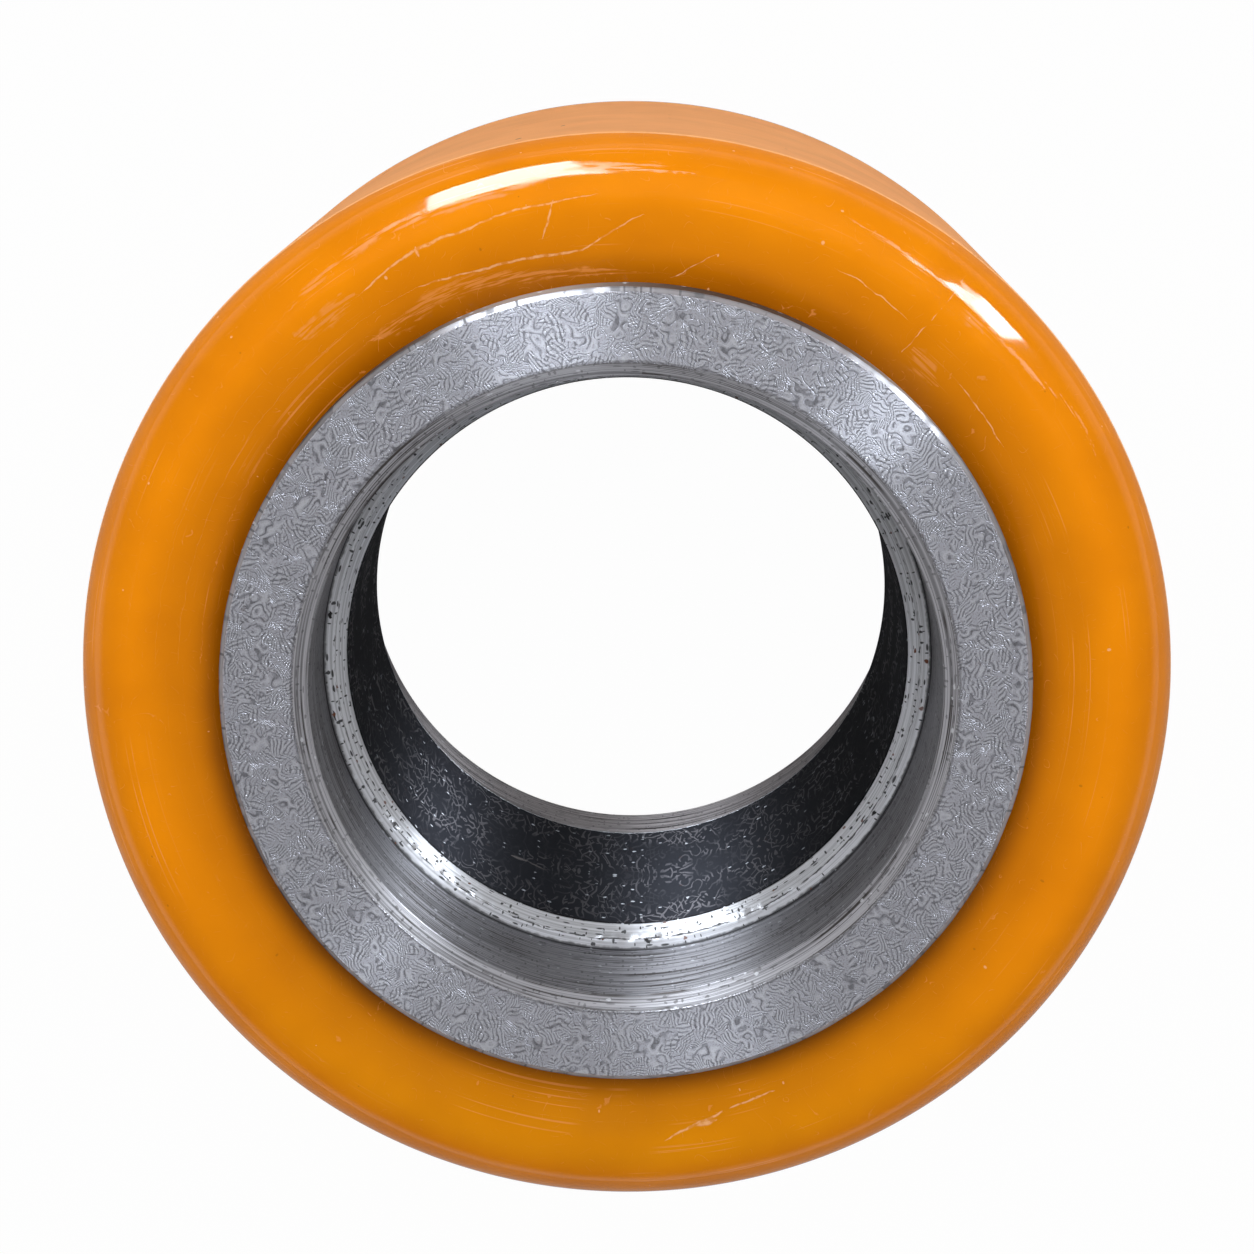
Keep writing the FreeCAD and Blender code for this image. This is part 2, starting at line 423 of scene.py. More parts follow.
ringPlace = makeRingPlace()
turningLines = makeTurningLines()
strokePatches = makeStrokePatches(strokeShape)
specks = makeSpecks()
straightMark = makeStraightMark()
edgeBand = makeEdgeBand()
print("shared node groups made")


def traceMarks(tree, place, marks):
    # marks from point to point, each with its width, in millimetres
    traced = []
    for start, end, width in marks:
        values = {"Place": place, "From": start, "To": end, "Width": width}
        traced.append(placeGroup(tree, straightMark, **values)["Mark"])
    return most(tree, *traced)


def markedEdge(tree, ring, grit, edge):
    # the edge is its radius, its level, the width of the band and how much that varies
    values = {"Grit": grit, "Radius": ring["Radius"], "Level": ring["Level"]}
    values.update(zip(("Edge Radius", "Edge Level", "Width", "Uneven"), edge))
    return placeGroup(tree, edgeBand, **values)["Wear"]


def newMaterial(name):
    material = bpy.data.materials.new(name)
    material.use_nodes = True
    tree = material.node_tree
    tree.nodes.clear()
    surface = tree.nodes.new("ShaderNodeBsdfPrincipled")
    output = tree.nodes.new("ShaderNodeOutputMaterial")
    tree.links.new(surface.outputs["BSDF"], output.inputs["Surface"])
    place = addNode(tree, "ShaderNodeTexCoord").outputs["Object"]
    ring = placeGroup(tree, ringPlace, Place=place)
    return material, tree, surface, ring


# Mesh helpers: a half section is drawn as a line of vertices, mirrored, and spun round the axis

middleWeld = 0.00001  # metres, how near two points of the mirrored halves are when they become one
seamWeld = 0.000005  # metres, the same for the first and the last section of the turn
creaseAngle = 25  # degrees, the mesh is shaded smooth below it


def deselectAll():
    if bpy.context.object and bpy.context.object.mode != "OBJECT":
        bpy.ops.object.mode_set(mode="OBJECT")
    bpy.ops.object.select_all(action="DESELECT")


def startSection(name, radius, level):
    deselectAll()
    height = midHeight * millimetre
    bpy.ops.mesh.primitive_plane_add(size=millimetre, location=(0, 0, height))
    piece = bpy.context.object
    piece.name = name
    bpy.ops.object.mode_set(mode="EDIT")
    bpy.ops.mesh.select_all(action="SELECT")
    bpy.ops.mesh.merge(type="CENTER")
    bpy.ops.transform.translate(value=(radius * millimetre, 0, level * millimetre))
    bpy.ops.mesh.select_mode(type="VERT")
    return piece


def drawRun(start, end, steps):
    step = Vector((end[0] - start[0], 0, end[1] - start[1])) * (millimetre / steps)
    for _ in range(steps):
        bpy.ops.mesh.extrude_region_move(TRANSFORM_OT_translate={"value": step})


def closeSection(piece, turns):
    bpy.ops.object.mode_set(mode="OBJECT")
    mirror = piece.modifiers.new("otherEnd", "MIRROR")
    mirror.use_axis = (False, False, True)
    mirror.merge_threshold = middleWeld
    bpy.ops.object.modifier_apply(modifier=mirror.name)
    bpy.ops.object.transform_apply(location=True, rotation=True, scale=True)
    turn = piece.modifiers.new("turn", "SCREW")
    turn.axis = "Z"
    turn.steps = turns
    turn.render_steps = turns
    turn.use_merge_vertices = True
    bpy.ops.object.modifier_apply(modifier=turn.name)
    bpy.ops.object.mode_set(mode="EDIT")
    bpy.ops.mesh.select_all(action="SELECT")
    bpy.ops.mesh.remove_doubles(threshold=seamWeld)
    bpy.ops.mesh.normals_make_consistent(inside=False)
    bpy.ops.object.mode_set(mode="OBJECT")


def weighVertices(piece, name, rule):
    group = piece.vertex_groups.new(name=name)
    for vertex in piece.data.vertices:
        place = vertex.co / millimetre
        weight = rule(math.hypot(place.x, place.y), abs(place.z - midHeight))
        if weight > 0:
            group.add([vertex.index], min(weight, 1.0), "REPLACE")
    return group


def press(piece, group, texture, depth, middle):
    # moves the vertices along their normals by depth, in millimetres, times the texture's value less middle
    displace = piece.modifiers.new("press", "DISPLACE")
    displace.texture = texture
    displace.texture_coords = "LOCAL"
    displace.vertex_group = group.name
    displace.strength = depth * millimetre
    displace.mid_level = middle
    bpy.ops.object.modifier_apply(modifier=displace.name)


# Steel hub

hubShape = {
    "wall": 46.0,
    "bondLevel": 35.0,  # where the tyre's side meets the hub
    "edge": 0.6,
    "mouth": 37.7,
    "seat": 36.0,
    "seatTop": 38.5,
    "shoulderLevel": 22.0,
    "shoulder": 34.65,
    "stepLevel": 21.6,
    "bore": 33.25,
    "boreLevel": 19.8,
    "turns": 600,
}
hubNicks = {
    # clouds in metres, depth and margin in millimetres
    "rims": {"clouds": 0.0022, "depth": 0.04, "margin": 0.1},
    "bands": {"clouds": 0.0009, "depth": 0.16, "margin": 0.05},
}


def nickTexture(name, size):
    texture = bpy.data.textures.new(name, "CLOUDS")
    texture.noise_scale = size
    texture.noise_depth = 1
    texture.intensity = 0.68  # only the top of the clouds is left, as separate nicks
    texture.contrast = 4.0
    texture.use_clamp = True  # no bulges where the clouds fall below nothing
    return texture


def onRims(radius, level):
    inside = hubShape["edge"] + hubNicks["rims"]["margin"]
    return 1.0 if radius > hubShape["wall"] - inside and level > midHeight - inside else 0.0


def onBands(radius, level):
    margin = hubNicks["bands"]["margin"]
    onStep = abs(radius - hubShape["shoulder"]) < margin
    return 1.0 if onStep and level > hubShape["stepLevel"] - margin else 0.0


def buildHub(shape):
    wall = shape["wall"]
    top = midHeight
    piece = startSection("hubSteel", wall, 0)
    runs = [  # each point, and the steps that lead to it
        ((wall, 0), 0),
        ((wall, shape["bondLevel"]), 1),
        ((wall, top - shape["edge"]), 6),
        ((wall - shape["edge"], top), 2),
        ((shape["mouth"], top), 11),
        ((shape["seat"], shape["seatTop"]), 4),
        ((shape["seat"], shape["shoulderLevel"]), 18),
        ((shape["shoulder"], shape["shoulderLevel"]), 4),
        ((shape["shoulder"], shape["stepLevel"]), 1),
        ((shape["bore"], shape["boreLevel"]), 5),
        ((shape["bore"], 0), 12),
    ]
    for before, after in zip(runs, runs[1:]):
        drawRun(before[0], after[0], after[1])
    closeSection(piece, shape["turns"])
    for name, rule in (("rims", onRims), ("bands", onBands)):
        nicks = hubNicks[name]
        texture = nickTexture(name, nicks["clouds"])
        press(piece, weighVertices(piece, name, rule), texture, -nicks["depth"], 0.0)
    bpy.ops.object.shade_smooth_by_angle(angle=math.radians(creaseAngle))
    return piece


hubPiece = buildHub(hubShape)
print("hub modelled:", len(hubPiece.data.polygons), "faces")


# Polyurethane tyre

tyreShape = {
    "bond": (46.0, 35.0),  # radius and level where the side meets the hub
    "rimCentre": (56.0, 30.5),  # centre of the cast round
    "rimRound": 7.0,
    "sideLean": 15.44,  # degrees that the side falls towards the hub
    "edgeRound": 1.0,  # where the tread is ground
    "edgeTurn": 23.56,  # degrees left for that smaller round
    "tread": 62.5,
    "turns": 720,
}
tyreWaves = {
    "clouds": 0.011,  # metres
    "depth": 0.16,  # mm
    "lowest": 30.0,  # the level below which there are none
    "fromHub": (46.2, 3.0),  # the radius where they start, and how far on they are full
    "toTread": (62.0, 1.5),
}


def onRound(centre, reach, degrees):
    angle = math.radians(degrees)
    return centre[0] + reach * math.cos(angle), centre[1] + reach * math.sin(angle)


def spinRun(centre, degrees, steps):
    middle = Vector((centre[0], 0, centre[1] + midHeight)) * millimetre
    bpy.ops.mesh.spin(steps=steps, angle=-math.radians(degrees), center=middle, axis=(0, 1, 0))


def castSide(radius, level):
    # the waves of the cast side fade out at the hub and at the tread
    if level < tyreWaves["lowest"]:
        return 0.0
    start, rise = tyreWaves["fromHub"]
    stop, fall = tyreWaves["toTread"]
    return max(0.0, min(1.0, (radius - start) / rise, (stop - radius) / fall))


def buildTyre(shape):
    piece = startSection("tyrePolyurethane", shape["bond"][0], 0)
    lean = shape["sideLean"]
    turn = shape["edgeTurn"]
    tangent = onRound(shape["rimCentre"], shape["rimRound"], 90 + lean)
    edgeCentre = onRound(shape["rimCentre"], shape["rimRound"] - shape["edgeRound"], turn)
    drawRun((shape["bond"][0], 0), shape["bond"], 1)
    drawRun(shape["bond"], tangent, 22)
    spinRun(shape["rimCentre"], 90 + lean - turn, 26)
    spinRun(edgeCentre, turn, 4)
    drawRun((shape["tread"], edgeCentre[1]), (shape["tread"], 0), 14)
    closeSection(piece, shape["turns"])
    cast = bpy.data.textures.new("castWaves", "CLOUDS")
    cast.noise_scale = tyreWaves["clouds"]
    press(piece, weighVertices(piece, "castSide", castSide), cast, tyreWaves["depth"], 1.0)
    bpy.ops.object.shade_smooth_by_angle(angle=math.radians(creaseAngle))
    return piece


tyrePiece = buildTyre(tyreShape)
print("tyre modelled:", len(tyrePiece.data.polygons), "faces")


# Steel: scuffed turned face, streaked seat, bright nicked shoulder, dark bore

steelLook = {
    "face": shade(190, 191, 201),
    "seat": shade(148, 147, 152),
    "seatDirt": shade(66, 61, 60),
    "shoulder": shade(216, 217, 222),
    "bevel": shade(162, 161, 166),
    "bore": shade(34, 35, 40),
    "boreStroke": shade(122, 119, 123),
    "wall": shade(92, 76, 64),
    "bright": shade(226, 229, 235),
    "pit": shade(24, 22, 23),
    "rust": shade(108, 60, 38),
    "flake": shade(118, 112, 110),
    # a paler copy of the seat colour for the far end: painted light
    "farSeatPaintedLight": shade(180, 174, 176),
}

steelZones = {
    # the radii and levels between which a zone fades in or out, in millimetres
    "face": (39.85, 39.95),
    "wall": (45.9, 45.98),
    "wallTop": (39.2, 39.4),
    "bore": (33.3, 33.42),
    "seat": (35.85, 35.95),
    "bevelInside": (36.02, 36.12),
    "bevelOutside": (37.62, 37.7),
    "rim": (45.3, 45.4),
    "farEnd": (19.7, 20.3),  # heights above the floor
}

steelEdges = {
    # radius, level, width and how much the width varies, in millimetres
    # the rim's band is a painted highlight along the chamfer
    "rim": (45.75, 39.75, 0.34, 0.3),
    "mouth": (37.75, 40.0, 0.24, 0.3),
    "seatCorner": (36.0, 22.1, 0.46, 0.6),
    "step": (34.65, 21.75, 0.26, 0.35),
    # the bore edge is a dark line at the near end and a painted highlight at the far end
    "bore": (33.25, 19.8, 0.2, 0.5),
}

# listed marks: from, to and width, in millimetres
shoulderChips = [
    ((-10.6, -32.6, 62.0), (-8.4, -33.2, 62.0), 0.55),
    ((-1.9, -34.6, 62.0), (-1.2, -34.7, 62.0), 0.3),
    ((0.5, -34.5, 62.0), (4.9, -34.2, 62.0), 0.2),
    ((3.6, -34.1, 62.0), (4.5, -34.9, 62.0), 0.35),
    ((9.6, -32.1, 62.0), (10.2, -31.9, 62.0), 0.3),
    ((-17.4, -29.4, 62.0), (-16.9, -29.7, 62.0), 0.25),
    ((-35.3, 3.9, 62.0), (-35.3, 3.1, 62.0), 0.45),
    ((-34.6, -8.0, 62.0), (-34.2, -9.4, 62.0), 0.2),
    ((30.6, -16.9, 62.0), (30.2, -17.6, 62.0), 0.3),
]

boreFlake = [
    ((-13.2, -30.5, 42.9), (-11.2, -31.3, 42.2), 0.7),
    ((-11.2, -31.3, 42.2), (-8.9, -32.0, 43.3), 0.35),
]


def findSteelZones(tree, ring, height, zones):
    radius = ring["Radius"]
    level = ring["Level"]
    face = ramp(tree, level, *zones["face"])
    wall = times(tree, ramp(tree, radius, *zones["wall"]), fade(tree, level, *zones["wallTop"]))
    bore = fade(tree, radius, *zones["bore"])
    shoulder = minus(tree, fade(tree, radius, *zones["seat"]), bore)
    bevel = ramp(tree, radius, *zones["bevelInside"])
    bevel = times(tree, bevel, fade(tree, radius, *zones["bevelOutside"]))
    taken = maths(tree, "ADD", face, maths(tree, "ADD", bore, wall))
    seat = minus(tree, minus(tree, 1.0, taken), shoulder, clamp=True)
    return {
        "face": face,
        "wall": wall,
        "bore": bore,
        "shoulder": shoulder,
        "bevel": bevel,
        "seat": seat,
        "turned": gather(tree, seat, [(shoulder, 0.55)]),
        "rim": times(tree, ramp(tree, radius, *zones["rim"]), minus(tree, 1.0, wall)),
        "farEnd": fade(tree, height, *zones["farEnd"]),
    }


def findSteelPatterns(tree, ring, on):
    place = ring["Millimetres"]
    along = ring["Along"]
    unrolled = combine(tree, ring["Arc"], along)

    # strokes lie flat on the face and follow the wall in the bore
    strokePlace = addNode(tree, "ShaderNodeMix", data_type="VECTOR")
    inBore = vectors(tree, "MULTIPLY", unrolled, (1.0, 0.35, 1.0))
    for key, value in ((0, on["bore"]), (4, place), (5, inBore)):
        tree.links.new(value, strokePlace.inputs[key])
    spacing = gather(tree, 0.38, [(on["bore"], 0.5)])
    strokes = placeGroup(tree, strokePatches, Place=strokePlace.outputs[1], Patch=1.5, Spacing=spacing)

    wander = wanderings(tree, place, scale=2.2, detail=1.0)
    common = {"Millimetres": place, "Along": along}
    tall = vectors(tree, "MULTIPLY", unrolled, (1.0, 0.36, 1.0))
    wide = vectors(tree, "MULTIPLY", unrolled, (0.3, 1.0, 1.0))
    few = {"Size": 0.2, "Dark Share": 0.3}
    shares = {"Dark Share": 0.17, "Pale Share": 0.08, "Rust Share": 0.05}
    spotPlace = shift(tree, unrolled, wander, 0.35)
    return {
        "strokes": strokes,
        "grit": clouds(tree, unrolled, scale=0.9, detail=2.0)[0],
        "broad": clouds(tree, unrolled, scale=0.11, detail=2.0)[0],
        "grain": clouds(tree, place, scale=5.5, detail=1.0)[0],
        "lines": placeGroup(tree, turningLines, Across=2.6, Arc=0.035, **common)["Lines"],
        "fine": placeGroup(tree, turningLines, Across=9.0, Arc=0.07, **common)["Lines"],
        "ticks": placeGroup(tree, specks, Place=tall, Spacing=0.66, **few)["Dark"],
        "dashes": placeGroup(tree, specks, Place=wide, Spacing=0.62, **few)["Dark"],
        "spots": placeGroup(tree, specks, Place=spotPlace, Spacing=1.2, Size=0.34, **shares),
        "markPlace": shift(tree, place, wander, 0.35),
    }


def findSteelPits(tree, on, seen):
    # ticks and dashes on the turned bands, dots everywhere, and the listed chips
    dots = seen["spots"]["Dark"]
    share = gather(tree, gather(tree, 0.1, [(on["seat"], 0.35)]), [(on["shoulder"], 0.82)])
    nicks = times(tree, most(tree, seen["ticks"], seen["dashes"], dots), share, minus(tree, 1.0, on["face"]))
    return most(
        tree,
        nicks,
        times(tree, seen["ticks"], on["rim"], 0.6),
        times(tree, dots, on["face"], 0.45),
        traceMarks(tree, seen["markPlace"], shoulderChips),
    )


def makeSteel(look):
    material, tree, surface, ring = newMaterial("turnedSteel")
    height = separate(tree, ring["Millimetres"])["Z"]
    on = findSteelZones(tree, ring, height, steelZones)
    seen = findSteelPatterns(tree, ring, on)
    edges = {name: markedEdge(tree, ring, seen["grit"], edge) for name, edge in steelEdges.items()}
    groove = seen["strokes"]["Groove"]
    lines = seen["lines"]
    broad = seen["broad"]

    # the turned zones, with their streaks
    colour = blendColour(tree, on["face"], look["seat"], look["face"])
    colour = layer(tree, colour, look, [
        ("shoulder", on["shoulder"]),
        ("bevel", on["bevel"]),
        ("wall", on["wall"]),
        # painted light: the seat at the far end is paler than the near one
        ("farSeatPaintedLight", on["seat"], on["farEnd"]),
    ])
    streak = ramp(tree, lines, 0.4, 0.6, 0.42, 1.16)
    streaks = addNode(tree, "ShaderNodeCombineColor", {0: streak, 1: streak, 2: streak}).outputs[0]
    colour = blendColour(tree, times(tree, on["turned"], 0.75), colour, streaks, "MULTIPLY")
    stained = times(tree, ramp(tree, lines, 0.5, 0.36), ramp(tree, broad, 0.42, 0.6))
    cut = times(tree, ramp(tree, seen["fine"], 0.38, 0.3), on["turned"])

    # strokes on the face, curls in the bore
    depth = times(tree, seen["strokes"]["Depth"], on["face"])
    grain = ramp(tree, seen["grain"], 0.5, 0.25, 0.0, 0.4)
    curled = times(tree, ramp(tree, groove, 0.6, 1.0), ramp(tree, broad, 0.4, 0.62, 0.12, 1.0), on["bore"])
    flake = times(tree, traceMarks(tree, seen["markPlace"], boreFlake), on["bore"])

    # pits, creases between the bands, glints and rust
    # painted highlight on the lip at the far end of the bore
    farLip = times(tree, edges["bore"], maths(tree, "LESS_THAN", height, midHeight))
    creases = minus(tree, most(tree, edges["seatCorner"], edges["step"], edges["bore"]), farLip)
    pits = findSteelPits(tree, on, seen)
    glints = times(tree, seen["spots"]["Pale"], gather(tree, 0.5, [(on["face"], -0.35)]))
    glints = most(tree, glints, times(tree, farLip, 0.85))
    rusty = times(tree, seen["spots"]["Rust"], gather(tree, 0.08, [(on["shoulder"], 0.75)]))
    colour = layer(tree, colour, look, [
        ("seatDirt", stained, on["seat"]),
        ("pit", cut, 0.6),
        ("wall", grain, on["face"]),
        ("pit", groove, 0.56, depth),
        ("bright", seen["strokes"]["Lip"], 0.5, depth),
        ("bore", on["bore"]),
        ("boreStroke", curled, 0.5),
        ("flake", flake, 0.7),
        ("seatDirt", edges["mouth"], 0.45),
        # painted highlight along the rim edge
        ("bright", edges["rim"], 0.25),
        ("pit", most(tree, pits, times(tree, creases, 0.8))),
        ("bright", glints),
        ("rust", rusty),
    ])
    tree.links.new(colour, surface.inputs["Base Color"])

    # how metallic and how rough each zone is
    smooth = most(tree, on["seat"], on["bevel"])
    metal = gather(tree, 0.54, [
        (smooth, 0.08),
        (on["shoulder"], -0.14),
        (on["bevel"], -0.24),
        (on["bore"], 0.36),
    ])
    metal = times(tree, metal, gather(tree, 1.0, [(pits, -0.8)]))
    tree.links.new(metal, surface.inputs["Metallic"])
    rough = gather(tree, 0.23, [
        (smooth, 0.14),
        (on["bevel"], 0.14),
        (on["shoulder"], 0.08),
        (on["bore"], gather(tree, 0.4, [(curled, -0.2)])),
        (on["wall"], 0.3),
        (most(tree, pits, rusty), 0.3),
    ])
    tree.links.new(rough, surface.inputs["Roughness"])
    surface.inputs["Anisotropic"].default_value = 1.0
    surface.inputs["Anisotropic Rotation"].default_value = 0.25  # across the turning lines
    tree.links.new(ring["Round"], surface.inputs["Tangent"])

    relief = times(tree, groove, gather(tree, -0.05, [(depth, -0.9)]))
    relief = gather(tree, relief, [(lines, times(tree, on["turned"], 2.4))])
    bump = addNode(tree, "ShaderNodeBump", {"Height": relief, "Distance": 0.000012, "Strength": 1.0})
    tree.links.new(bump.outputs[0], surface.inputs["Normal"])
    return material


hubPiece.data.materials.append(makeSteel(steelLook))
print("steel finished")


# Polyurethane: glossy cast sides, ground matte tread

urethaneLook = {
    # byHub: painted shade on the side next to the hub
    "byHub": shade(168, 94, 3),
    "side": shade(235, 138, 3),
    # painted shade, darker and yellower towards -Y
    "paintedShadeMinusY": shade(222, 138, 3),
    "rim": shade(223, 130, 4),
    "dryDark": linear(244, 160, 86),
    "dryLight": linear(255, 178, 106),
    # edge: painted highlight along the edge of the tread
    "edge": shade(252, 194, 130),
    "scratch": shade(252, 198, 146),
    # smear is also the colour of the painted reflection under the rim
    "smearAndSheen": shade(240, 156, 84),
    "pit": shade(120, 62, 20),
    "hole": shade(62, 34, 20),
}

# wear that runs round the upper side, with a painted reflection under the rim: angle in degrees, radius and
# width in millimetres, 0 where it stops
roundScratches = {
    "longUpper": [
        (126, 53.6, 0), (124.7, 53.8, 0.17), (121.9, 54.4, 0.2), (119.5, 54.8, 0.24), (114.6, 55.0, 0.3),
        (112.3, 54.8, 0.26), (109.8, 55.1, 0.2), (106.5, 55.5, 0.2), (101.5, 55.5, 0.17), (97.6, 55.9, 0.12),
        (96, 56.0, 0), (67, 53.0, 0), (65, 53.2, 0.1), (58, 52.6, 0.1), (56, 52.4, 0),
    ],
    "longLower": [
        (120, 51.1, 0), (118.6, 50.9, 0.16), (111.7, 50.1, 0.2), (108.2, 50.0, 0.26), (101.7, 49.8, 0.25),
        (98, 49.9, 0.16), (95.6, 51.3, 0.18), (93.4, 52.4, 0.2), (91.6, 53.4, 0.12), (90.5, 53.9, 0),
        (87, 46.6, 0), (86.2, 47.0, 0.13), (84.2, 48.3, 0.15), (82.1, 49.8, 0.1), (81, 50.4, 0),
        (46, 50.9, 0), (45, 50.9, 0.12), (37.7, 50.6, 0.12), (36, 50.5, 0),
    ],
}
roundRubsAndSheen = {
    "byHub": [
        (129, 48.6, 0), (126, 48.4, 1.1), (123.4, 48.2, 1.4), (119, 49.2, 1.5), (112.6, 49.0, 1.6),
        (106.7, 48.0, 1.2), (102.2, 47.6, 0.9), (95, 47.3, 0.6), (91, 47.2, 0),
    ],
    # under the rim: rub marks and a painted reflection
    "underRimRubAndReflection": [
        (134, 57.0, 0), (131, 57.4, 0.9), (121.8, 58.2, 0.9), (115.9, 57.9, 1.0), (107.5, 57.7, 1.0),
        (102.7, 58.3, 0.8), (98, 58.9, 1.0), (90, 58.9, 0.9), (85, 58.7, 0), (69, 58.8, 0), (66, 58.6, 0.5),
        (58.7, 57.9, 0.5), (54, 58.1, 0.2), (48.7, 57.5, 0.3), (41, 57.9, 0.4), (34.5, 59.4, 0.4),
        (28, 59.0, 0),
    ],
}

# straight pieces of wear: from, to and width, in millimetres
scratches = [
    ((-10.6, 55.6, 0), (-11.9, 49.7, 0), 0.15),
    ((-25.7, 48.8, 0), (-25.3, 47.7, 0), 0.26),
    ((27.4, 38.0, 0), (35.4, 48.7, 0), 0.08),
    ((7.2, -54.1, 0), (14.6, -50.0, 0), 0.22),
    ((10.9, -52.3, 0), (13.3, -51.2, 0), 0.34),
    ((14.4, -50.1, 0), (20.5, -47.2, 0), 0.16),
]

smears = [
    ((35.0, 47.6, 0), (37.4, 42.6, 0), 1.6),
    ((30.0, 40.4, 0), (32.8, 36.6, 0), 1.6),
    ((-38.4, 38.0, 0), (-32.6, 43.2, 0), 1.4),
]

treadPits = [
    ((-15.5, 60.5, 67.7), (-15.0, 60.7, 66.6), 0.5),
    ((-34.4, 52.2, 21.0), (-33.6, 52.7, 18.0), 0.4),
    ((-10.9, 61.5, 55.4), (-10.5, 61.6, 54.0), 0.3),
    ((26.6, 55.4, 76.4), (26.9, 55.3, 76.4), 0.22),
    ((36.7, 49.5, 76.3), (37.0, 49.4, 76.2), 0.25),
]


# the curves of the wear run from 0 to 1 over these angles, radii and widths
tracedRange = {"from": 20.0, "turn": 120.0, "inside": 46.0, "across": 16.0, "widest": 2.0}

tyreZones = {
    # radii between which a zone fades in or out, in millimetres
    "darkest": (46.2, 50.5),
    "darker": (47.0, 56.5),
    "rim": (56.0, 60.0),
    "ground": (62.39, 62.45),
    "upper": (39.0, 41.0),  # heights above the floor
    "skin": (7.9, 8.3),
    # painted shade towards -Y, along Y
    "paintedShadeMinusY": (-20.0, -60.0),  # along Y
}
# a painted highlight along the tread's edge
paintedTreadHighlight = (62.42, 33.3, 0.22, 0.25)  # radius, level, width and how much the width varies


def floatCurve(tree, value, points):
    made = addNode(tree, "ShaderNodeFloatCurve", {"Value": value})
    curve = made.mapping.curves[0]
    while len(curve.points) < len(points):
        curve.points.new(0.5, 0.5)
    made.mapping.extend = "HORIZONTAL"
    for point, (place, level) in zip(curve.points, points):
        point.location = (place, level)
        point.handle_type = "VECTOR"
    made.mapping.update()
    return made.outputs[0]


def traceRound(tree, turn, radius, trace, within):
    # turn is 0 at the first angle of the range and 1 at its last
    inside = within["inside"]
    across = within["across"]
    rows = [((angle - within["from"]) / within["turn"], ring, width) for angle, ring, width in sorted(trace)]
    middle = floatCurve(tree, turn, [(place, (ring - inside) / across) for place, ring, _ in rows])
    width = floatCurve(tree, turn, [(place, width / within["widest"]) for place, _, width in rows])
    width = gather(tree, 0.0001, [(width, 1.6)])
    away = maths(tree, "ABSOLUTE", minus(tree, radius, gather(tree, inside, [(middle, across)])))
    return fade(tree, away, times(tree, width, 0.35), width)


def findTyreWear(tree, ring, mottle, upper):
    place = ring["Millimetres"]
    radius = ring["Radius"]
    flat = vectors(tree, "MULTIPLY", place, (1, 1, 0))
    wander = wanderings(tree, place, scale=0.5, detail=2.0)
    grit = clouds(tree, place, scale=1.1, detail=3.0)[0]
    angle = minus(tree, ring["Angle"], tracedRange["from"])
    turn = maths(tree, "DIVIDE", angle, tracedRange["turn"], clamp=True)

    # listed scratches, broken up a little
    wandering = shift(tree, flat, wander, 0.5)
    reach = vectors(tree, "LENGTH", wandering)
    traced = [traceRound(tree, turn, reach, trace, tracedRange) for trace in roundScratches.values()]
    scratch = most(tree, traceMarks(tree, wandering, scratches), *traced)
    scratch = times(tree, scratch, ramp(tree, grit, 0.3, 0.5, 0.5, 1.0), upper)

    # rubs, combed and with ragged edges; the one under the rim is also a painted reflection
    combed = placeGroup(tree, turningLines, Millimetres=place, Along=radius, Across=3.0, Arc=0.22)["Lines"]
    ragged = gather(tree, radius, [(minus(tree, grit, 0.5), 0.9)])
    traced = [traceRound(tree, turn, ragged, trace, tracedRange) for trace in roundRubsAndSheen.values()]
    rubAndSheen = most(tree, traceMarks(tree, shift(tree, flat, wander, 2.4), smears), *traced)
    rubAndSheen = times(tree, rubAndSheen, ramp(tree, combed, 0.44, 0.56), upper)

    # fine hairs round the tyre and along the contours of clouds
    fineLines = {"Along": radius, "Across": 3.4, "Arc": 0.02, "Detail": 1.0}
    long = placeGroup(tree, turningLines, Millimetres=place, **fineLines)["Lines"]
    hairs = times(tree, ramp(tree, long, 0.69, 0.74), ramp(tree, mottle, 0.46, 0.62))
    contour = maths(tree, "FRACT", times(tree, clouds(tree, place, scale=0.16, detail=1.0)[0], 9.0))
    contour = maths(tree, "ABSOLUTE", minus(tree, contour, 0.5))
    thin = times(tree, fade(tree, contour, 0.006, 0.018), ramp(tree, grit, 0.5, 0.62), 0.9)

    # specks all round
    unrolled = combine(tree, times(tree, ring["Arc"], 1.6), minus(tree, radius, ring["Level"]))
    spotPlace = shift(tree, unrolled, wander, 0.3)
    shares = {"Dark Share": 0.14, "Pale Share": 0.14}
    spots = placeGroup(tree, specks, Place=spotPlace, Spacing=6.0, Size=0.24, **shares)
    return {
        "grit": grit,
        "scratch": scratch,
        "rubAndSheen": rubAndSheen,
        "hairs": most(tree, hairs, thin),
        "spots": spots,
        "holes": traceMarks(tree, shift(tree, place, wander, 0.3), treadPits),
    }


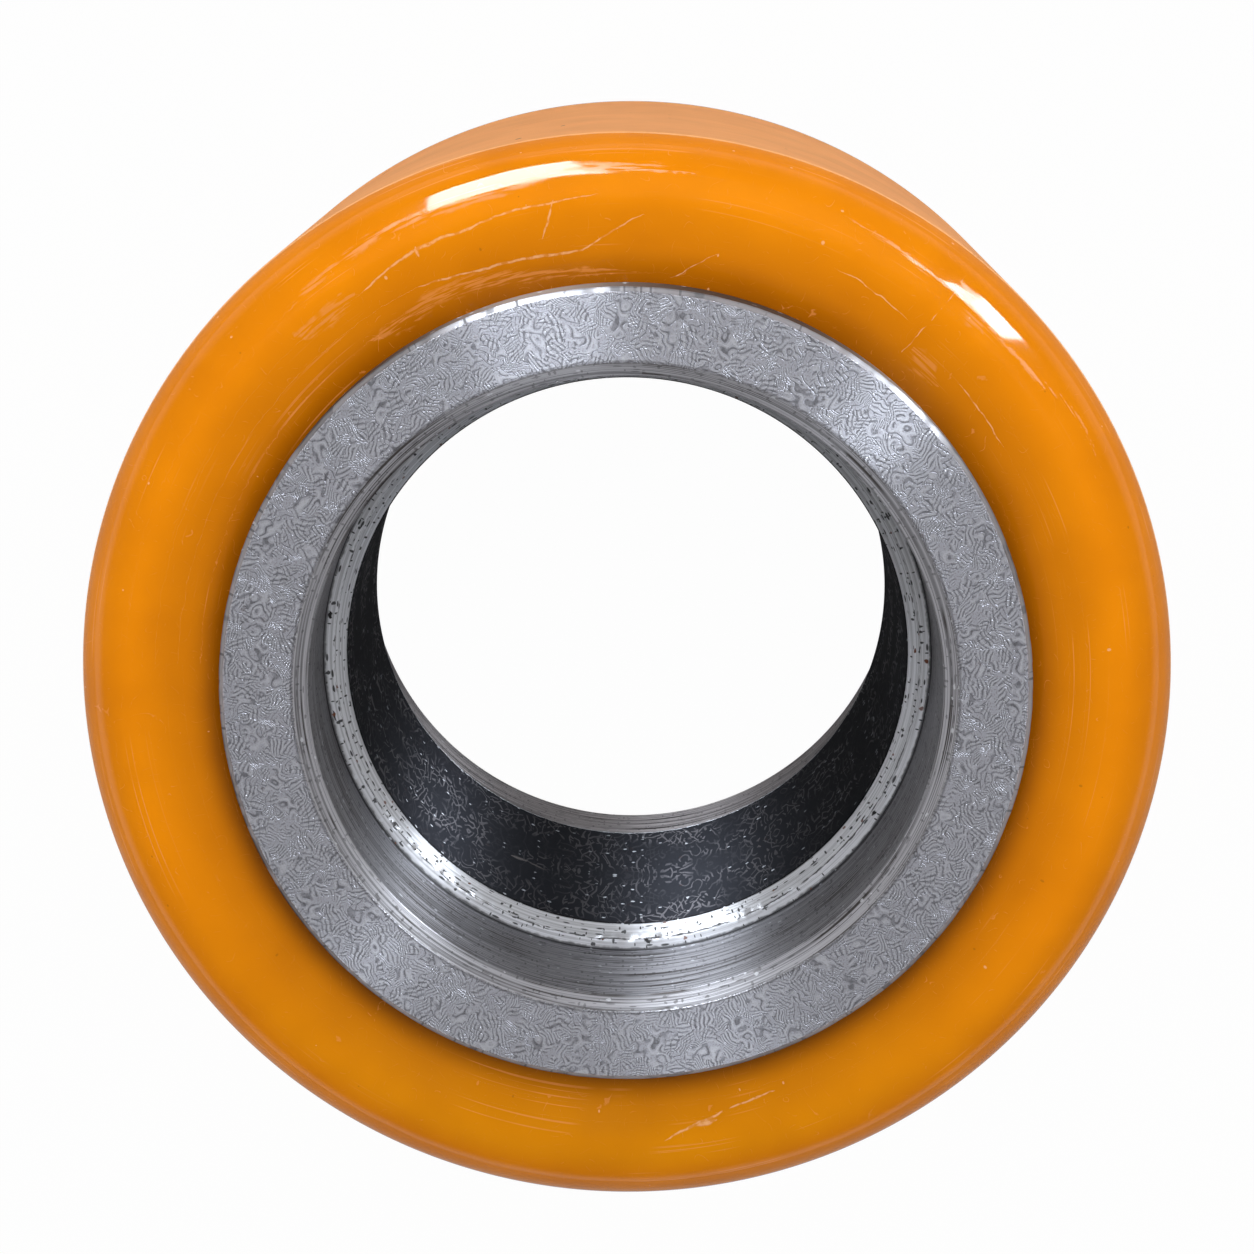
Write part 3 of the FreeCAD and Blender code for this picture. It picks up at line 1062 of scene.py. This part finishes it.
def makeUrethane(look):
    material, tree, surface, ring = newMaterial("castUrethane")
    place = ring["Millimetres"]
    radius = ring["Radius"]
    axes = separate(tree, place)
    upper = ramp(tree, axes["Z"], *tyreZones["upper"])
    values = {"Vector": place, "Scale": 0.08, "Detail": 2.0, "Roughness": 0.6}
    mottle = addNode(tree, "ShaderNodeTexNoise", values).outputs[0]
    wear = findTyreWear(tree, ring, mottle, upper)

    # cast side: painted shade darkens it by the hub and towards -Y, and it is mottled a little
    paintedHubShade = times(tree, fade(tree, radius, *tyreZones["darkest"]), 0.6)
    paintedHubShade = gather(tree, paintedHubShade, [(fade(tree, radius, *tyreZones["darker"]), 0.4)])
    side = blendColour(tree, ramp(tree, axes["Y"], *tyreZones["paintedShadeMinusY"]), look["side"], look["paintedShadeMinusY"])
    side = layer(tree, side, look, [
        ("byHub", paintedHubShade),
        ("rim", ramp(tree, radius, *tyreZones["rim"])),
    ])
    tone = colourRamp(tree, mottle, [(0.32, (0.93, 0.9, 0.9)), (0.68, (1.03, 1.03, 1.0))])
    side = blendColour(tree, 1.0, side, tone, "MULTIPLY")
    worn = times(tree, wear["scratch"], ramp(tree, wear["grit"], 0.35, 0.65, 0.4, 1.0))
    side = layer(tree, side, look, [
        # rubs, and the painted reflection under the rim
        ("smearAndSheen", wear["rubAndSheen"], 0.42),
        ("smearAndSheen", wear["hairs"], 0.45),
        ("pit", wear["spots"]["Dark"], 0.3),
        ("scratch", most(tree, wear["spots"]["Pale"], worn), 0.5),
    ])

    # ground tread: grain round it, pits, and a painted highlight along its edge
    ground = times(tree, ramp(tree, radius, *tyreZones["ground"]), ramp(tree, axes["Z"], *tyreZones["skin"]))
    grainPlace = {"Millimetres": place, "Along": ring["Level"], "Across": 3.0, "Arc": 0.08}
    grain = placeGroup(tree, turningLines, **grainPlace)["Lines"]
    dry = colourRamp(tree, grain, [(0.15, look["dryDark"]), (0.85, look["dryLight"])])
    tone = colourRamp(tree, mottle, [(0.3, (0.93, 0.9, 0.86)), (0.7, (1.04, 1.04, 1.04))])
    dry = blendColour(tree, 1.0, dry, tone, "MULTIPLY")
    dry = layer(tree, dry, look, [("pit", wear["spots"]["Dark"], ground, 0.55)])
    # painted highlight where the cast round meets the ground tread
    edge = markedEdge(tree, ring, wear["grit"], paintedTreadHighlight)
    colour = blendColour(tree, ground, side, dry)
    colour = layer(tree, colour, look, [("hole", wear["holes"], 0.75), ("edge", edge, 0.6)])
    tree.links.new(colour, surface.inputs["Base Color"])

    rough = ramp(tree, ground, 0.0, 1.0, 0.06, 0.85)
    rough = gather(tree, rough, [(wear["scratch"], 0.25), (wear["rubAndSheen"], 0.18), (edge, 0.2)])
    tree.links.new(rough, surface.inputs["Roughness"])
    surface.inputs["IOR"].default_value = 1.4
    relief = times(tree, grain, times(tree, ground, 0.5))
    bump = addNode(tree, "ShaderNodeBump", {"Height": relief, "Distance": 0.00005, "Strength": 1.0})
    tree.links.new(bump.outputs[0], surface.inputs["Normal"])
    return material


tyrePiece.data.materials.append(makeUrethane(urethaneLook))
print("polyurethane finished")


# Floor and surroundings: white for the camera, darker for gloss, and plain light for matte surfaces

floorLook = {
    "halfWidth": 3.0,  # metres
    "drop": 0.0002,  # metres below the roller, so that the two do not touch
    "ownLight": 0.98,
    "glossShare": 0.2,
    "paint": (0.5, 0.5, 0.5, 1.0),
}
studio = {"ceiling": 0.12, "horizon": 1.0, "fromLevel": 0.04, "toLevel": 0.32}


def makeFloor(look):
    deselectAll()
    bpy.ops.mesh.primitive_plane_add(size=2 * look["halfWidth"], location=(0, 0, -look["drop"]))
    floor = bpy.context.object
    floor.name = "studioFloor"
    bpy.ops.object.transform_apply(location=True)
    material = bpy.data.materials.new("studioFloor")
    material.use_nodes = True
    tree = material.node_tree
    tree.nodes.clear()
    paint = addNode(tree, "ShaderNodeBsdfDiffuse", {"Color": look["paint"]})
    glow = addNode(tree, "ShaderNodeEmission", {"Color": (1, 1, 1, 1), "Strength": 1.0})
    path = addNode(tree, "ShaderNodeLightPath").outputs
    glossy = times(tree, path["Is Glossy Ray"], look["glossShare"])
    seen = most(tree, path["Is Camera Ray"], glossy, path["Is Transmission Ray"])
    share = times(tree, seen, look["ownLight"])
    both = addNode(tree, "ShaderNodeMixShader", {0: share, 1: paint.outputs[0], 2: glow.outputs[0]})
    addNode(tree, "ShaderNodeOutputMaterial", {"Surface": both.outputs[0]})
    floor.data.materials.append(material)


def makeSurroundings(look):
    # white at the horizon and below, greyer overhead
    world = bpy.data.worlds.new("studio")
    scene.world = world
    world.use_nodes = True
    tree = world.node_tree
    tree.nodes.clear()
    toward = addNode(tree, "ShaderNodeTexCoord").outputs["Generated"]
    rise = separate(tree, toward)["Z"]
    level = ramp(tree, rise, look["fromLevel"], look["toLevel"], look["horizon"], look["ceiling"])
    grey = addNode(tree, "ShaderNodeCombineColor", {0: level, 1: level, 2: level})
    sky = addNode(tree, "ShaderNodeBackground", {"Color": grey.outputs[0], "Strength": 1.0})
    addNode(tree, "ShaderNodeOutputWorld", {"Surface": sky.outputs[0]})


makeFloor(floorLook)
makeSurroundings(studio)
print("studio made")

pieces = ((hubPiece, "steel_hub", "steel"), (tyrePiece, "polyurethane_tyre", "polyurethane"))
for piece, node, slot in pieces:
    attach(piece, "root")
    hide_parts(node)
